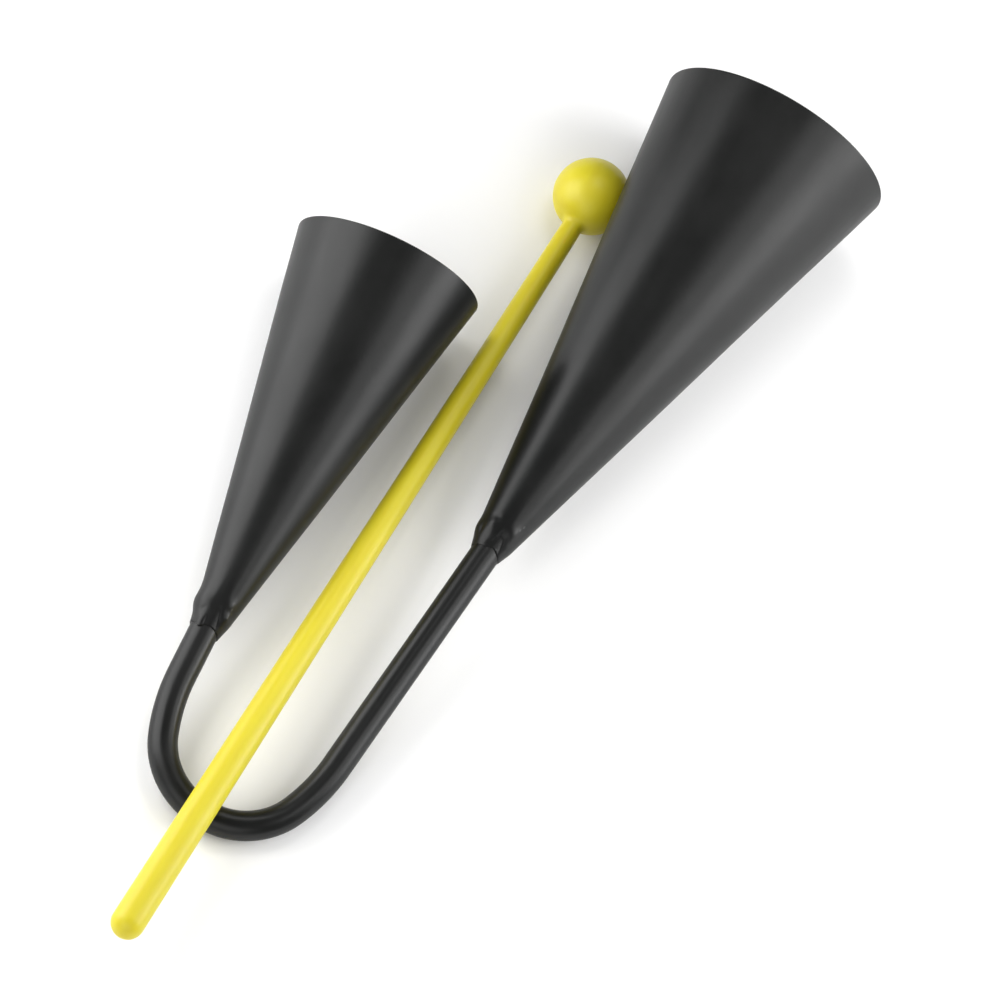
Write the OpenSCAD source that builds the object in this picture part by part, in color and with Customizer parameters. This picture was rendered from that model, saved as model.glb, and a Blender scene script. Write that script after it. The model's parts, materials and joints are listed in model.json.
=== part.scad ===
// Agogo bells: two sheet-steel cones crimped on one bent tube, with a one-piece beater.
// The set lies on a table on three points: both mouth rims and the underside of the bend.
// +Z is up, +Y runs along the handle towards the mouths, +X is the large bell's side.

/* [Large bell] */
// Outer diameter of the large bell's mouth
large_mouth_d = 95; // [80:0.5:110]
// Length of the large bell along its axis, neck end to mouth centre
large_len = 208; // [180:1:230]
// Angle by which the large mouth faces towards the small bell
large_mouth_in = 3.3; // [-2:0.1:6]
// Angle by which the large mouth faces down
large_mouth_down = 2; // [-3:0.1:4]

/* [Small bell] */
// Outer diameter of the small bell's mouth
small_mouth_d = 77; // [65:0.5:88]
// Length of the small bell along its axis, neck end to mouth centre
small_len = 168; // [145:1:190]
// Angle by which the small mouth faces towards the large bell
small_mouth_in = -1; // [-4:0.1:4]
// Angle by which the small mouth faces down
small_mouth_down = -2; // [-4:0.1:3]

/* [Bell sheet] */
// Thickness of the sheet, measured across the bell's axis
sheet_t = 1.1; // [0.8:0.1:1.5]
// Clearance between the neck's bore and the tube
neck_fit = 0.05; // [0.02:0.01:0.1]

/* [Crimped neck] */
// Thickness of the sheet's bevelled edge at the neck's end
lip_t = 0.4; // [0.3:0.05:0.8]
// Length of the swollen part of the neck, from its end
swell_len = 17; // [12:1:22]
// Height of the swell over the straight line from the bevelled edge to the cone
swell_proud = 0.8; // [0.5:0.1:1.4]
// Radius of the punch that presses the front and back grooves
groove_r = 3.6; // [2.5:0.1:5]
// Place above the neck's end where a groove starts to rise off the tube
groove_start = 6; // [5:0.5:8]
// Length over which a groove rises and fades into the cone
groove_run = 24; // [18:1:34]

/* [Handle] */
// Outer diameter of the bent tube
tube_d = 12; // [9:0.5:15]
// Wall of the tube
tube_wall = 1.5; // [1:0.1:2.5]
// Amount by which the bending draws the tube's section in, once on the shoulders and twice below
bend_draw = 0.02; // [0.02:0.01:0.06]
// Centreline radius of the bottom of the bend
bend_r = 31.5; // [26:0.5:38]
// Centreline radius of the two shoulders beside it
shoulder_r = 82; // [60:1:110]
// Angle that each shoulder turns
shoulder_turn = 18; // [10:1:26]
// Angle that each leg leans outwards
leg_lean = 3.9; // [2:0.1:6]
// Straight length of the leg from the bend to the large bell's neck
long_leg = 107; // [90:1:125]
// Straight length of the leg from the bend to the small bell's neck
short_leg = 20.4; // [14:0.2:36]
// Length of tube inside each neck
tube_insert = 12; // [8:0.5:18]

/* [Welds] */
// Angle of arc that each tack weld covers round the tube
tack_arc = 64; // [40:2:90]
// Radius of the tack welds' round section
tack_r = 0.6; // [0.4:0.05:1]
// Radius of the seam welds' round section
seam_r = 1.6; // [1.2:0.1:2.2]
// Height of the seam welds over the sheet
seam_proud = 0.7; // [0.4:0.1:1]
// Angle of each seam from the bell's underside towards its outer side
seam_turn = 42; // [30:1:80]
// Bare stretch of sheet left between the seam weld and the mouth
seam_stop = 3; // [1:0.5:8]

/* [Beater] */
// Diameter of the striking ball
ball_d = 30.5; // [24:0.5:34]
// Overall length from the ball's top to the butt end
beater_len = 398; // [340:1:420]
// Diameter of the shaft where it enters the ball
shaft_head_d = 8.2; // [6:0.2:10]
// Diameter of the rounded butt
shaft_butt_d = 13.6; // [11:0.2:16]
// Fillet radius between the ball and the shaft
ball_fillet = 3; // [1:0.5:6]
// Distance of the ball's centre behind the large mouth, along that bell
ball_back = 51; // [35:1:70]
// Gap between the ball and the large bell
ball_gap = 2; // [1:0.1:4]
// Angle of the shaft across the handle, seen from above
beater_turn = 1; // [0:0.1:2]
// Gap between the shaft and the tube it rests on
rest_gap = 0.2; // [0.1:0.05:0.4]

/* [Hidden] */
$fn = 96;
overrun = 1;
tube_lap = 0.3;
swell_steps = 18;
steel_paint = [0.17, 0.175, 0.17];
beater_plastic = [0.93, 0.86, 0.2];

// Radii worked out from the sizes above
tube_r = tube_d / 2;
neck_bore = tube_r + neck_fit;
lip_r = neck_bore + lip_t;
pressed_r = neck_bore + sheet_t;
large_r = large_mouth_d / 2;
small_r = small_mouth_d / 2;
ball_r = ball_d / 2;
butt_r = shaft_butt_d / 2;
shaft_len = beater_len - ball_r - butt_r;

// Handle plane: x across, y towards the mouths, z up, origin at the bend's lowest centreline point
bottom_turn = 90 - leg_lean - shoulder_turn;
function on_arc(centre, r, a) = centre + r * [sin(a), -cos(a), 0];
bottom_centre = [0, bend_r, 0];
shoulder_centre = on_arc(bottom_centre, bend_r - shoulder_r, bottom_turn);
leg_foot = on_arc(shoulder_centre, shoulder_r, bottom_turn + shoulder_turn);
leg_dir = [sin(leg_lean), cos(leg_lean), 0];
function other_side(p) = [-p.x, p.y, p.z];
large_neck = leg_foot + long_leg * leg_dir;
small_neck = other_side(leg_foot + short_leg * leg_dir);
large_axis = leg_dir;
small_axis = other_side(leg_dir);

// The large cone's side runs to the whole sheet over the tube, the small cone's to the bevelled edge
large_flare = (large_r - pressed_r) / large_len;
small_flare = (small_r - lip_r) / small_len;

// Points of a mouth rim in the handle plane, from the bell's cone and its tilted mouth plane
function mouth_normal(in, down) = [cos(down) * sin(in), sin(down), cos(down) * cos(in)];
function rim_drop(r, k, n, a) =
    let(tip = n.x * cos(a) + n.y * sin(a)) -r * tip / (n.z + k * tip);
function rim_local(r, k, n, a) =
    let(u = rim_drop(r, k, n, a), rr = r + k * u) [rr * cos(a), rr * sin(a), u];
function from_bell(neck, axis, p, along) =
    neck + (along + p.z) * axis + p.x * [axis.y, -axis.x, 0] - p.y * [0, 0, 1];
function rim(neck, axis, r, k, len, n) =
    [for (a = [0:0.5:360]) from_bell(neck, axis, rim_local(r, k, n, a), len)];
mouth_tilt = max(
    abs(large_mouth_in) + abs(large_mouth_down), abs(small_mouth_in) + abs(small_mouth_down));
large_normal = mouth_normal(-large_mouth_in, large_mouth_down);
small_normal = mouth_normal(small_mouth_in, small_mouth_down);
large_rim = rim(large_neck, large_axis, large_r, large_flare, large_len, large_normal);
small_rim = rim(small_neck, small_axis, small_r, small_flare, small_len, small_normal);

// Table plane under the three resting points, found by repeating the choice of lowest points
function lowest(points, n) = let(h = [for (p = points) p * n]) points[search(min(h), h)[0]];
function unit(v) = v / norm(v);
function bend_lowest(n) = bottom_centre - bend_r * unit([n.x, n.y, 0]) - tube_r * n;
function plane_up(a, b, c) = let(m = unit(cross(a - c, b - c))) m.z < 0 ? -m : m;
function table_up(n, rounds) = rounds == 0 ? n : table_up(
    plane_up(lowest(large_rim, n), lowest(small_rim, n), bend_lowest(n)), rounds - 1);
up = table_up(unit([0, 1, 8]), 8);
along = unit([0, 1, 0] - up * up.y);
across = cross(along, up);
table_height = lowest(large_rim, up) * up;
function lying(p) = [across * p, along * p, up * p - table_height];

// Beater: the ball lies on the table beside the large bell, the shaft rests on the bend
large_half_angle = atan(large_flare);
large_axis_lying = [across * large_axis, along * large_axis, up * large_axis];
ball_station = large_len - ball_back;
ball_axis_point = lying(large_neck + ball_station * large_axis);
ball_radius_out = pressed_r + large_flare * ball_station + (ball_r + ball_gap) / cos(large_half_angle);
to_side = unit(cross([0, 0, 1], large_axis_lying));
to_top = cross(large_axis_lying, to_side);
ball_roll = asin((ball_r - ball_axis_point.z) / (ball_radius_out * to_top.z));
ball_centre = ball_axis_point + ball_radius_out * (cos(ball_roll) * to_side + sin(ball_roll) * to_top);
function shaft_r(l) = (shaft_head_d + (shaft_butt_d - shaft_head_d) * l / shaft_len) / 2;
bend_line = [for (a = [-60:0.5:60]) lying(on_arc(bottom_centre, bend_r, a))];
function shaft_dir(pitch) = [-cos(pitch) * sin(beater_turn), -cos(pitch) * cos(beater_turn), sin(pitch)];
function shaft_gap(d) = min([for (p = bend_line)
    let(v = p - ball_centre, l = v * d) norm(v - l * d) - shaft_r(l) - tube_r]);
function rest_pitch(pitch, rounds) = rounds == 0 ? pitch : rest_pitch(
    pitch + atan((rest_gap - shaft_gap(shaft_dir(pitch))) / shaft_len), rounds - 1);
beater_pitch = rest_pitch(2, 12);
butt_centre = ball_centre + shaft_len * shaft_dir(beater_pitch);

// Middle of the whole set on the table, where the part's origin lies
large_rim_lying = [for (p = large_rim) lying(p)];
small_rim_lying = [for (p = small_rim) lying(p)];
x_low = min([for (p = small_rim_lying) p.x]);
x_high = max([for (p = large_rim_lying) p.x]);
y_low = butt_centre.y - butt_r;
y_high = max([for (p = large_rim_lying) p.y]);
middle = [(x_low + x_high) / 2, (y_low + y_high) / 2, 0];

// Carries what is drawn in the handle plane to its lying place
module lay_down() {
    translate([0, 0, -table_height] - middle)
        multmatrix([
            [across.x, across.y, across.z, 0],
            [along.x, along.y, along.z, 0],
            [up.x, up.y, up.z, 0],
            [0, 0, 0, 1]
        ])
            children();
}

// Carries a bell's own axis, drawn upwards from its neck's end, onto a leg
module on_large_leg() {
    lay_down()
        translate(large_neck)
            rotate([-90, 0, -leg_lean])
                children();
}

module on_small_leg() {
    lay_down()
        translate(small_neck)
            rotate([-90, 0, leg_lean])
                children();
}

// Half outline of a bell from the axis out, swollen over its neck's end and drawn past its mouth
module bell_outline(r, k, len, inset) {
    reach = len + r * tan(mouth_tilt) + overrun;
    cone_foot = r - k * len;
    chord = [cone_foot + k * swell_len - lip_r, swell_len];
    swell_r = (pow(norm(chord) / 2, 2) + pow(swell_proud, 2)) / (2 * swell_proud);
    swell_axis = [lip_r, 0] + chord / 2 - (swell_r - swell_proud) * unit([chord.y, -chord.x]);
    swell = [for (i = [0:swell_steps])
        swell_axis + swell_r * unit([lip_r, 0] + chord * i / swell_steps - swell_axis)];
    difference() {
        translate([-inset, 0])
            polygon(concat([[0, 0]], swell, [[cone_foot + k * reach, reach], [0, reach]]));
        translate([-lip_r, -overrun])
            square([lip_r, reach + 2 * overrun]);
    }
}

// One punch that presses a groove into the neck, its end on the tube and rising outwards
module groove_punch(r, k, len, grow) {
    cone_r = r + k * (groove_start + groove_run - len);
    rise = atan((cone_r - pressed_r) / groove_run);
    for (side = [-1, 1])
        translate([0, side * (pressed_r - grow), groove_start])
            rotate([-side * rise, 0, 0])
                translate([0, side * (groove_r + grow), -groove_start - 2 * groove_r])
                    cylinder(r = groove_r + grow, h = groove_run * 2 + groove_start);
}

// Everything inside a bell's outer skin
module bell_body(r, k, len, inset) {
    difference() {
        rotate_extrude()
            bell_outline(r, k, len, inset);
        groove_punch(r, k, len, inset);
    }
}

// Sheet cone with an open mouth, crimped round the tube at its neck
module bell(r, k, len, in, down) {
    difference() {
        bell_body(r, k, len, 0);
        bell_body(r, k, len, sheet_t);
        translate([0, 0, -overrun])
            cylinder(r = neck_bore, h = tube_insert + overrun);
        translate([0, 0, len])
            rotate([-down, in, 0])
                translate([-2 * r, -2 * r, 0])
                    cube([4 * r, 4 * r, len]);
    }
}

module large_bell() {
    color(steel_paint)
        on_large_leg()
            bell(large_r, large_flare, large_len, -large_mouth_in, large_mouth_down);
}

module small_bell() {
    color(steel_paint)
        on_small_leg()
            bell(small_r, small_flare, small_len, small_mouth_in, small_mouth_down);
}

// One straight stretch of tube, upwards
module straight_tube(len) {
    difference() {
        cylinder(r = tube_r, h = len);
        translate([0, 0, -overrun])
            cylinder(r = tube_r - tube_wall, h = len + 2 * overrun);
    }
}

// One curved stretch of tube in the handle plane, turning about the origin, with its section drawn in
module curved_tube(r, from, turn, drawn) {
    rotate([0, 0, from])
        rotate_extrude(angle = turn)
            translate([r, 0])
                difference() {
                    circle(r = tube_r - drawn);
                    circle(r = tube_r - tube_wall + drawn);
                }
}

// Each wider stretch laps a little over the end of the next
module handle() {
    lap_turn = atan(tube_lap / shoulder_r);
    turned = shoulder_turn + lap_turn;
    color(steel_paint)
        lay_down()
            union() {
                translate(bottom_centre)
                    curved_tube(bend_r, -90 - bottom_turn, 2 * bottom_turn, 2 * bend_draw);
                translate(shoulder_centre)
                    curved_tube(shoulder_r, bottom_turn - 90 - lap_turn, turned, bend_draw);
                translate(other_side(shoulder_centre))
                    curved_tube(shoulder_r, -90 - bottom_turn - shoulder_turn, turned, bend_draw);
                translate(leg_foot - tube_lap * leg_dir)
                    rotate([-90, 0, -leg_lean])
                        straight_tube(tube_lap + long_leg + tube_insert);
                translate(other_side(leg_foot - tube_lap * leg_dir))
                    rotate([-90, 0, leg_lean])
                        straight_tube(tube_lap + short_leg + tube_insert);
            }
}

// Tack welds in the corner between a neck's end and the tube, on both sides between the grooves
module neck_welds() {
    for (side = [0, 180])
        rotate([0, 0, side - tack_arc / 2])
            rotate_extrude(angle = tack_arc)
                difference() {
                    translate([tube_r + tack_r / 2, 0])
                        circle(r = tack_r);
                    translate([tube_r - 2 * tack_r, -2 * tack_r])
                        square([2 * tack_r, 4 * tack_r]);
                    translate([tube_r - tack_r, 0])
                        square([4 * tack_r, 2 * tack_r]);
                }
}

module large_neck_welds() {
    color(steel_paint)
        on_large_leg()
            neck_welds();
}

module small_neck_welds() {
    color(steel_paint)
        on_small_leg()
            neck_welds();
}

// Weld bead down the lengthwise joint of a rolled cone, proud of the sheet
module bell_seam(r, k, len, turn) {
    slant = atan(k);
    first = swell_len + 2 * seam_r;
    last = len - r * tan(mouth_tilt) - seam_stop;
    run = (last - first) / cos(slant);
    difference() {
        rotate([0, 0, 90 - turn])
            translate([r + k * (first - len) - (seam_r - seam_proud) / cos(slant), 0, first])
                rotate([0, slant, 0]) {
                    cylinder(r = seam_r, h = run);
                    sphere(r = seam_r);
                    translate([0, 0, run])
                        sphere(r = seam_r);
                }
        cylinder(r1 = r - k * len, r2 = r, h = len, $fn = 240);
    }
}

module large_bell_seam() {
    color(steel_paint)
        on_large_leg()
            bell_seam(large_r, large_flare, large_len, seam_turn);
}

module small_bell_seam() {
    color(steel_paint)
        on_small_leg()
            bell_seam(small_r, small_flare, small_len, -seam_turn);
}

// Half outline of the beater from its axis out, with the ball's centre at the origin
module beater_outline() {
    fillet_x = shaft_head_d / 2 + ball_fillet;
    fillet_y = sqrt(pow(ball_r + ball_fillet, 2) - pow(fillet_x, 2));
    touch = [fillet_x, fillet_y] * ball_r / (ball_r + ball_fillet);
    difference() {
        union() {
            circle(r = ball_r);
            translate([0, shaft_len])
                circle(r = butt_r);
            polygon([[0, 0], [shaft_r(0), 0], [butt_r, shaft_len], [0, shaft_len]]);
            difference() {
                polygon([[0, 0], touch, [fillet_x, fillet_y], [0, fillet_y]]);
                translate([fillet_x, fillet_y])
                    circle(r = ball_fillet);
            }
        }
        translate([-2 * ball_r, -2 * ball_r])
            square([2 * ball_r, beater_len + 2 * ball_r]);
    }
}

module beater() {
    color(beater_plastic)
        translate(ball_centre - middle)
            rotate([90 - beater_pitch, 0, -beater_turn])
                rotate_extrude()
                    beater_outline();
}

large_bell();
small_bell();
handle();
large_neck_welds();
small_neck_welds();
large_bell_seam();
small_bell_seam();
beater();
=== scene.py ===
"""Agogo bells: two black coated sheet-steel cones on one bent tube, and a yellow moulded beater.

Lengths are in metres. The tube, the cones and the welds are worked out in the handle's own plane, with
x across the handle, y towards the mouths, z up and the origin at the middle of the bend, on its
centreline. They are then carried to where the packed frame has that plane.
"""

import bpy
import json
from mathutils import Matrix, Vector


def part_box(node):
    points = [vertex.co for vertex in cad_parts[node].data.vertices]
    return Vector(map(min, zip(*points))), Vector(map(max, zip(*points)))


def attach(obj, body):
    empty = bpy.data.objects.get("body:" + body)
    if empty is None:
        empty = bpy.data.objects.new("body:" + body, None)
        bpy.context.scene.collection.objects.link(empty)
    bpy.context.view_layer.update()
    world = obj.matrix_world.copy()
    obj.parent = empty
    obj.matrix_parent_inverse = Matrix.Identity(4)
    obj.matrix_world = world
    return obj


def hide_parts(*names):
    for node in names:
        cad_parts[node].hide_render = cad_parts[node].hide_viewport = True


bl_info = {
    "name": "Agogo Bells",
    "version": (1, 0, 0),
    "blender": (4, 5, 0),
    "location": "3D View > Sidebar > Agogo",
    "description": "Two crimped steel cones on a bent tube handle, with a ball-headed beater",
    "category": "Add Mesh",
}

import json
from collections import namedtuple
from math import atan2, ceil, cos, exp, pi, radians, sin, sqrt

import bmesh
import bpy
from bpy.props import FloatProperty, FloatVectorProperty, PointerProperty
from mathutils import Matrix, Vector

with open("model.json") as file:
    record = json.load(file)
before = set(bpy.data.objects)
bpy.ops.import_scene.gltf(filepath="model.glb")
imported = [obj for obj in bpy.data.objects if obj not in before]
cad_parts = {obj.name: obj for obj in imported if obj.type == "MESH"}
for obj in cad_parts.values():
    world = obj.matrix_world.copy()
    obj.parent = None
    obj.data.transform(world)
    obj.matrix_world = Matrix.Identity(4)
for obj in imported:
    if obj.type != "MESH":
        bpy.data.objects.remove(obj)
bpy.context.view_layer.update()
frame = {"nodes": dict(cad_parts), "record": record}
MOUNTS = {mount["name"]: mount for mount in frame["record"]["mounts"]}
UP = Vector((0, 0, 1))


# Sizes and colours

class BellSizes(bpy.types.PropertyGroup):
    """The two cones and their crimped necks."""
    large_mouth_d: FloatProperty(
        name="Large mouth", description="Outer diameter of the large bell's mouth",
        default=0.095, unit="LENGTH")
    large_len: FloatProperty(
        name="Large length", description="Neck end to mouth centre of the large bell",
        default=0.208, unit="LENGTH")
    large_mouth_in: FloatProperty(
        name="Large mouth in", description="Turn of the large mouth towards the small bell",
        default=radians(3.3), unit="ROTATION")
    large_mouth_down: FloatProperty(
        name="Large mouth down", description="Turn of the large mouth towards the table",
        default=radians(2), unit="ROTATION")
    small_mouth_d: FloatProperty(
        name="Small mouth", description="Outer diameter of the small bell's mouth",
        default=0.077, unit="LENGTH")
    small_len: FloatProperty(
        name="Small length", description="Neck end to mouth centre of the small bell",
        default=0.168, unit="LENGTH")
    small_mouth_in: FloatProperty(
        name="Small mouth in", description="Turn of the small mouth towards the large bell",
        default=radians(-1), unit="ROTATION")
    small_mouth_down: FloatProperty(
        name="Small mouth down", description="Turn of the small mouth towards the table",
        default=radians(-2), unit="ROTATION")
    sheet_t: FloatProperty(
        name="Sheet", description="Thickness of the sheet", default=0.0011, unit="LENGTH")
    neck_fit: FloatProperty(
        name="Neck fit", description="Clearance between the neck and the tube",
        default=0.00005, unit="LENGTH")
    lip_t: FloatProperty(
        name="Lip", description="Thickness of the bevelled edge at the neck's end",
        default=0.0004, unit="LENGTH")
    taper_len: FloatProperty(
        name="Taper", description="Length over which the neck's end narrows to the tube",
        default=0.0052, unit="LENGTH")


class HandleSizes(bpy.types.PropertyGroup):
    """The bent tube."""
    tube_d: FloatProperty(
        name="Tube", description="Outer diameter of the tube", default=0.012, unit="LENGTH")
    tube_wall: FloatProperty(
        name="Tube wall", description="Wall of the tube", default=0.0015, unit="LENGTH")
    bend_draw: FloatProperty(
        name="Bend draw", description="Amount by which bending draws the section in",
        default=0.00002, unit="LENGTH")
    bend_r: FloatProperty(
        name="Bend radius", description="Centreline radius of the bottom of the bend",
        default=0.0315, unit="LENGTH")
    shoulder_r: FloatProperty(
        name="Shoulder radius", description="Centreline radius of the two shoulders",
        default=0.082, unit="LENGTH")
    shoulder_turn: FloatProperty(
        name="Shoulder turn", description="Angle that each shoulder turns",
        default=radians(18), unit="ROTATION")
    leg_lean: FloatProperty(
        name="Leg lean", description="Angle that each leg leans outwards",
        default=radians(3.9), unit="ROTATION")
    long_leg: FloatProperty(
        name="Long leg", description="Straight length to the large bell's neck",
        default=0.107, unit="LENGTH")
    short_leg: FloatProperty(
        name="Short leg", description="Straight length to the small bell's neck",
        default=0.0204, unit="LENGTH")
    tube_insert: FloatProperty(
        name="Insert", description="Length of tube inside each neck", default=0.012, unit="LENGTH")


class WeldSizes(bpy.types.PropertyGroup):
    """Tack welds at the necks and seam welds down the cones."""
    tack_arc: FloatProperty(
        name="Tack arc", description="Angle of tube that each tack covers",
        default=radians(64), unit="ROTATION")
    tack_r: FloatProperty(
        name="Tack radius", description="Size of a tack bead", default=0.0006, unit="LENGTH")
    seam_width: FloatProperty(
        name="Seam width", description="Width of the seam weld on the sheet",
        default=0.0025, unit="LENGTH")
    seam_proud: FloatProperty(
        name="Seam height", description="Height of the seam weld over the sheet",
        default=0.0007, unit="LENGTH")
    seam_turn: FloatProperty(
        name="Seam turn", description="Angle of each seam from the underside towards its outer side",
        default=radians(42), unit="ROTATION")
    seam_first: FloatProperty(
        name="Seam start", description="Place above the neck's end where the seam bead starts",
        default=0.0202, unit="LENGTH")
    seam_stop: FloatProperty(
        name="Seam stop", description="Bare stretch of sheet between the bead and the mouth",
        default=0.0075, unit="LENGTH")


class BeaterSizes(bpy.types.PropertyGroup):
    """The one-piece beater."""
    ball_d: FloatProperty(
        name="Ball", description="Diameter of the striking ball", default=0.0305, unit="LENGTH")
    shaft_head_d: FloatProperty(
        name="Shaft at the ball", description="Diameter where the shaft enters the ball",
        default=0.0082, unit="LENGTH")
    shaft_butt_d: FloatProperty(
        name="Shaft at the butt", description="Diameter of the rounded butt",
        default=0.0136, unit="LENGTH")
    ball_fillet: FloatProperty(
        name="Ball fillet", description="Fillet radius between ball and shaft",
        default=0.003, unit="LENGTH")


class Finishes(bpy.types.PropertyGroup):
    """Colours of the coat and the plastic."""
    coat_dark: FloatVectorProperty(
        name="Coat, dark", description="Darker tone of the black coat", subtype="COLOR",
        default=(0.0045, 0.0048, 0.0046), min=0, max=1)
    coat_light: FloatVectorProperty(
        name="Coat, light", description="Lighter tone of the black coat", subtype="COLOR",
        default=(0.0075, 0.0078, 0.0075), min=0, max=1)
    coat_worn: FloatVectorProperty(
        name="Coat, rubbed", description="Tone of the coat where edges are rubbed", subtype="COLOR",
        default=(0.035, 0.036, 0.036), min=0, max=1)
    plastic_main: FloatVectorProperty(
        name="Plastic", description="Colour of the moulded plastic", subtype="COLOR",
        default=(0.65, 0.568, 0.018), min=0, max=1)
    plastic_deep: FloatVectorProperty(
        name="Plastic, deep", description="Deeper tone of the moulded plastic", subtype="COLOR",
        default=(0.61, 0.515, 0.013), min=0, max=1)


class StageSettings(bpy.types.PropertyGroup):
    """Floor, light and camera."""
    floor_colour: FloatVectorProperty(
        name="Floor", description="Colour of the plain floor", subtype="COLOR",
        default=(0.95, 0.95, 0.95), min=0, max=1)
    floor_half: FloatProperty(
        name="Floor half width", description="Half the width of the floor", default=6.0, unit="LENGTH")
    camera_distance: FloatProperty(
        name="Camera distance", description="Distance from the camera to what it looks at",
        default=16.0, unit="LENGTH")
    right_watts: FloatProperty(
        name="Right softbox", description="Power of the softbox on the large bell's side",
        default=2.1, unit="POWER")
    right_high_watts: FloatProperty(
        name="Right high softbox", description="Power of the softbox above the large bell's side",
        default=1.9, unit="POWER")
    left_watts: FloatProperty(
        name="Left softbox", description="Power of the softbox on the small bell's side",
        default=2.45, unit="POWER")
    far_high_watts: FloatProperty(
        name="Far high softbox", description="Power of the softbox high beyond the mouths",
        default=1.2, unit="POWER")
    far_right_watts: FloatProperty(
        name="Far right softbox", description="Power of the low softbox beyond the large mouth",
        default=1.3, unit="POWER")
    near_watts: FloatProperty(
        name="Near softbox", description="Power of the large softbox beyond the bend",
        default=9.5, unit="POWER")
    top_light: FloatProperty(
        name="Overhead", description="Brightness of the room straight above, as gloss mirrors it",
        default=0.03)
    low_light: FloatProperty(
        name="Horizon", description="Brightness of the room at floor level, as gloss mirrors it",
        default=0.12)
    fill_light: FloatProperty(
        name="Fill", description="Brightness of the even room light that matt surfaces get",
        default=0.36)


# The handle's plane in the frame

def basis(first, second):
    """Right-handed axes with the first vector as x and z square to both."""
    x = first.normalized()
    z = x.cross(second).normalized()
    return Matrix((x, z.cross(x), z)).transposed()


def on_arc(centre, radius, angle):
    """Point of an arc in the handle's plane, at an angle that counts from -y towards +x."""
    return centre + radius * Vector((sin(angle), -cos(angle), 0))


def other_side(point):
    """The same point or direction on the other side of the handle's middle."""
    return Vector((-point.x, point.y, point.z))


def bell_axes(axis):
    """A bell's own axes in the handle's plane: x across to the right, y down, z along the cone."""
    return Matrix((Vector((axis.y, -axis.x, 0)), Vector((0, 0, -1)), axis)).transposed()


def mouth_normal(turn_right, down):
    """Outward normal of a mouth in its bell's own axes."""
    return Vector((cos(down) * sin(turn_right), sin(down), cos(down) * cos(turn_right)))


class HandlePlane:
    """The tube's centreline on the large bell's side, and the move from its plane to the frame.

    Two of the record's mounts give the move. The clamp is half-way up the long leg and points along
    it, and the large mouth's rim faces along its normal.
    """

    def __init__(self, bells, tube):
        self.bottom_turn = pi / 2 - tube.leg_lean - tube.shoulder_turn
        self.whole_turn = self.bottom_turn + tube.shoulder_turn
        self.bottom_centre = Vector((0, tube.bend_r, 0))
        self.shoulder_centre = on_arc(
            self.bottom_centre, tube.bend_r - tube.shoulder_r, self.bottom_turn)
        self.leg_foot = on_arc(self.shoulder_centre, tube.shoulder_r, self.whole_turn)
        self.leg_dir = Vector((sin(tube.leg_lean), cos(tube.leg_lean), 0))
        clamp, rim = MOUNTS["handle_clamp"], MOUNTS["large_mouth_rim"]
        facing = bell_axes(self.leg_dir) @ mouth_normal(-bells.large_mouth_in, bells.large_mouth_down)
        packed = basis(Vector(clamp["axis"]), Vector(rim["axis"]))
        self.turn = packed @ basis(self.leg_dir, facing).transposed()
        middle = self.leg_foot + self.leg_dir * tube.long_leg / 2
        self.origin = Vector(clamp["pos_m"]) - self.turn @ middle

    def place(self, point):
        """A point of the handle's plane as one of the frame."""
        return self.turn @ point + self.origin


# Mesh helpers

ROUND_STEPS = 3


def add_object(name, data):
    """New object in the scene."""
    obj = bpy.data.objects.new(name, data)
    bpy.context.scene.collection.objects.link(obj)
    return obj


def outward(mesh):
    """Turns every face outwards."""
    work = bmesh.new()
    work.from_mesh(mesh)
    bmesh.ops.recalc_face_normals(work, faces=work.faces)
    work.to_mesh(mesh)
    work.free()


def loft(name, rings, material, joined=False):
    """Mesh through rings of points. Joined lofts close on themselves, others get a pole at each end."""
    count = len(rings[0])
    points = [point for ring in rings for point in ring]
    faces = []
    spans = len(rings) if joined else len(rings) - 1
    for i in range(spans):
        a = i * count
        b = (i + 1) % len(rings) * count
        faces += [(a + j, a + (j + 1) % count, b + (j + 1) % count, b + j) for j in range(count)]
    if not joined:
        for start, flip in ((0, True), ((len(rings) - 1) * count, False)):
            pole = len(points)
            points.append(sum((points[start + j] for j in range(count)), Vector()) / count)
            for j in range(count):
                pair = (start + j, start + (j + 1) % count)
                faces.append((pole, *(reversed(pair) if flip else pair)))
    mesh = bpy.data.meshes.new(name)
    mesh.from_pydata(points, [], faces)
    mesh.validate()
    mesh.update()
    for face in mesh.polygons:
        face.use_smooth = True
    mesh.materials.append(material)
    outward(mesh)
    return add_object(name, mesh)


def rounded(before, corner, after, size):
    """Points that round a corner of an outline over the given length on each side."""
    first = corner + (before - corner).normalized() * size
    last = corner + (after - corner).normalized() * size
    points = []
    for i in range(ROUND_STEPS + 1):
        t = i / ROUND_STEPS
        points.append(first * (1 - t) ** 2 + corner * 2 * t * (1 - t) + last * t ** 2)
    return points


def stations(first, last, fine_end, fine_step, coarse_step):
    """Places along an axis, close together up to fine_end and wider apart after it."""
    fine = ceil((fine_end - first) / fine_step)
    coarse = ceil((last - fine_end) / coarse_step)
    return ([first + (fine_end - first) * i / fine for i in range(fine)]
            + [fine_end + (last - fine_end) * i / coarse for i in range(coarse + 1)])


def steps_between(first, last, count):
    """Values in equal steps from first, which is left out, to last."""
    return [first + (last - first) * i / count for i in range(1, count + 1)]


def hill(distance, reach):
    """Soft hill of height 1 at no distance, close to nothing two reaches away."""
    return exp(-(distance / reach) ** 2)


def fade(value, first, last):
    """Goes smoothly from 1 to 0 while a value goes from first to last."""
    t = min(1, max(0, (value - first) / (last - first)))
    return (1 - t) ** 2 * (1 + 2 * t)


def spoke(a):
    """Direction outwards at an angle round a bell's axis, in the bell's own axes."""
    return Vector((cos(a), sin(a), 0))


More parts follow.
